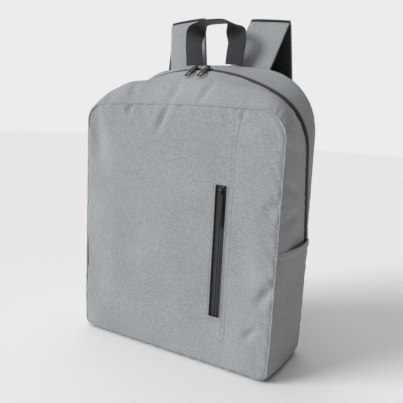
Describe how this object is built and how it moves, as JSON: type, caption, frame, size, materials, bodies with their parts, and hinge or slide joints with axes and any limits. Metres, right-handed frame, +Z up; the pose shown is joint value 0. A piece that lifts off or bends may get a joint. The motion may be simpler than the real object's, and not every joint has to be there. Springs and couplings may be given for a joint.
{
  "type": "daypack",
  "caption": "Rectangular zip-round laptop daypack in two-tone grey cloth with a vertical front pocket zip, side pockets, grab handle and padded straps.",
  "frame": {"origin": "middle of the base, on the surface that the bag stands on", "axes": "+Z up, the front panel faces -Y, +X to the right of someone facing the front"},
  "size_m": [0.3312, 0.1482, 0.4662],
  "materials": {
    "grey_fabric": "matte two-tone weave",
    "lining": "matte plain weave",
    "binding": "matte tape",
    "foam": "matte foam",
    "air_mesh": "open knitted mesh",
    "zip_tape": "matte knitted tape",
    "zip_coil": "satin",
    "zip_metal": "satin black",
    "webbing": "ribbed webbing",
    "buckle_plastic": "satin"
  },
  "bodies": {
    "root": {"bottom_panel": "grey_fabric", "back_panel": "grey_fabric", "back_foam": "foam", "back_mesh": "air_mesh", "rear_gusset": "grey_fabric", "zip_tape_rear": "zip_tape", "zip_coil_rear": "zip_coil", "rear_seam_binding": "binding", "zip_end_stops": "binding", "laptop_sleeve": "lining", "sleeve_binding": "binding", "strap_yoke": "grey_fabric", "side_gusset_left": "grey_fabric", "side_pocket_left": "grey_fabric", "pocket_hem_left": "grey_fabric", "strap_webbing_left": "webbing", "lower_tab_left": "grey_fabric", "side_gusset_right": "grey_fabric", "side_pocket_right": "grey_fabric", "pocket_hem_right": "grey_fabric", "strap_webbing_right": "webbing", "lower_tab_right": "grey_fabric"},
    "front_flap": {"front_panel": "grey_fabric", "front_gusset": "grey_fabric", "zip_tape_front": "zip_tape", "zip_coil_front": "zip_coil", "front_seam_binding": "binding", "pocket_zip_tape": "zip_tape", "pocket_zip_coil": "zip_coil", "pocket_zip_stops": "zip_metal", "front_pocket_bag": "lining"},
    "pocket_slider": {"pocket_slider": "zip_metal"},
    "pocket_puller": {"pocket_puller": "zip_metal"},
    "grab_handle": {"grab_handle": "webbing"},
    "main_slider_left": {"main_slider_left": "zip_metal"},
    "main_puller_left": {"main_puller_left": "zip_metal"},
    "main_slider_right": {"main_slider_right": "zip_metal"},
    "main_puller_right": {"main_puller_right": "zip_metal"},
    "shoulder_strap_left": {"strap_cover_left": "grey_fabric", "strap_foam_left": "foam", "strap_mesh_left": "air_mesh", "strap_loop_left": "webbing"},
    "ladder_lock_left": {"ladder_lock_left": "buckle_plastic", "webbing_tail_left": "webbing"},
    "shoulder_strap_right": {"strap_cover_right": "grey_fabric", "strap_foam_right": "foam", "strap_mesh_right": "air_mesh", "strap_loop_right": "webbing"},
    "ladder_lock_right": {"ladder_lock_right": "buckle_plastic", "webbing_tail_right": "webbing"}
  },
  "joints": [
    {"name": "front_flap_open", "type": "hinge", "parent": "root", "child": "front_flap", "pos_m": [0, -0.054, 0.0015], "axis": [1, 0, 0], "range_deg": [0, 12]},
    {"name": "pocket_slider_travel", "type": "slide", "parent": "front_flap", "child": "pocket_slider", "axis": [0, 0, -1], "range_m": [0, 0.158]},
    {"name": "pocket_puller_swing", "type": "hinge", "parent": "pocket_slider", "child": "pocket_puller", "pos_m": [0.071, -0.0557, 0.2365], "axis": [-1, 0, 0], "range_deg": [0, 170]},
    {"name": "grab_handle_fold", "type": "hinge", "parent": "root", "child": "grab_handle", "pos_m": [0, 0.0385, 0.3992], "axis": [1, 0, 0], "range_deg": [-8, 58]},
    {"name": "main_slider_left_travel", "type": "hinge", "parent": "front_flap", "child": "main_slider_left", "pos_m": [0, 0.043, 0.15728], "axis": [0, 0.9799, 0.1994], "range_deg": [-12, 0]},
    {"name": "main_puller_left_swing", "type": "hinge", "parent": "main_slider_left", "child": "main_puller_left", "pos_m": [-0.00335, -0.00478, 0.39214], "axis": [-0.9999, 0.0028, -0.0137], "range_deg": [0, 140]},
    {"name": "main_slider_right_travel", "type": "hinge", "parent": "front_flap", "child": "main_slider_right", "pos_m": [0, 0.043, 0.15728], "axis": [0, 0.9799, 0.1994], "range_deg": [0, 9]},
    {"name": "main_puller_right_swing", "type": "hinge", "parent": "main_slider_right", "child": "main_puller_right", "pos_m": [0.01589, -0.00468, 0.39165], "axis": [-0.9978, -0.0132, 0.0649], "range_deg": [0, 140]},
    {"name": "shoulder_strap_left_swing", "type": "hinge", "parent": "root", "child": "shoulder_strap_left", "pos_m": [-0.0485, 0.051, 0.3933], "axis": [1, 0, 0], "range_deg": [0, 18]},
    {"name": "ladder_lock_left_tilt", "type": "hinge", "parent": "shoulder_strap_left", "child": "ladder_lock_left", "pos_m": [-0.0905, 0.081, 0.138], "axis": [1, 0, 0], "range_deg": [-4, 35]},
    {"name": "shoulder_strap_right_swing", "type": "hinge", "parent": "root", "child": "shoulder_strap_right", "pos_m": [0.0485, 0.051, 0.3933], "axis": [1, 0, 0], "range_deg": [0, 18]},
    {"name": "ladder_lock_right_tilt", "type": "hinge", "parent": "shoulder_strap_right", "child": "ladder_lock_right", "pos_m": [0.0905, 0.081, 0.138], "axis": [1, 0, 0], "range_deg": [-4, 35]}
  ]
}
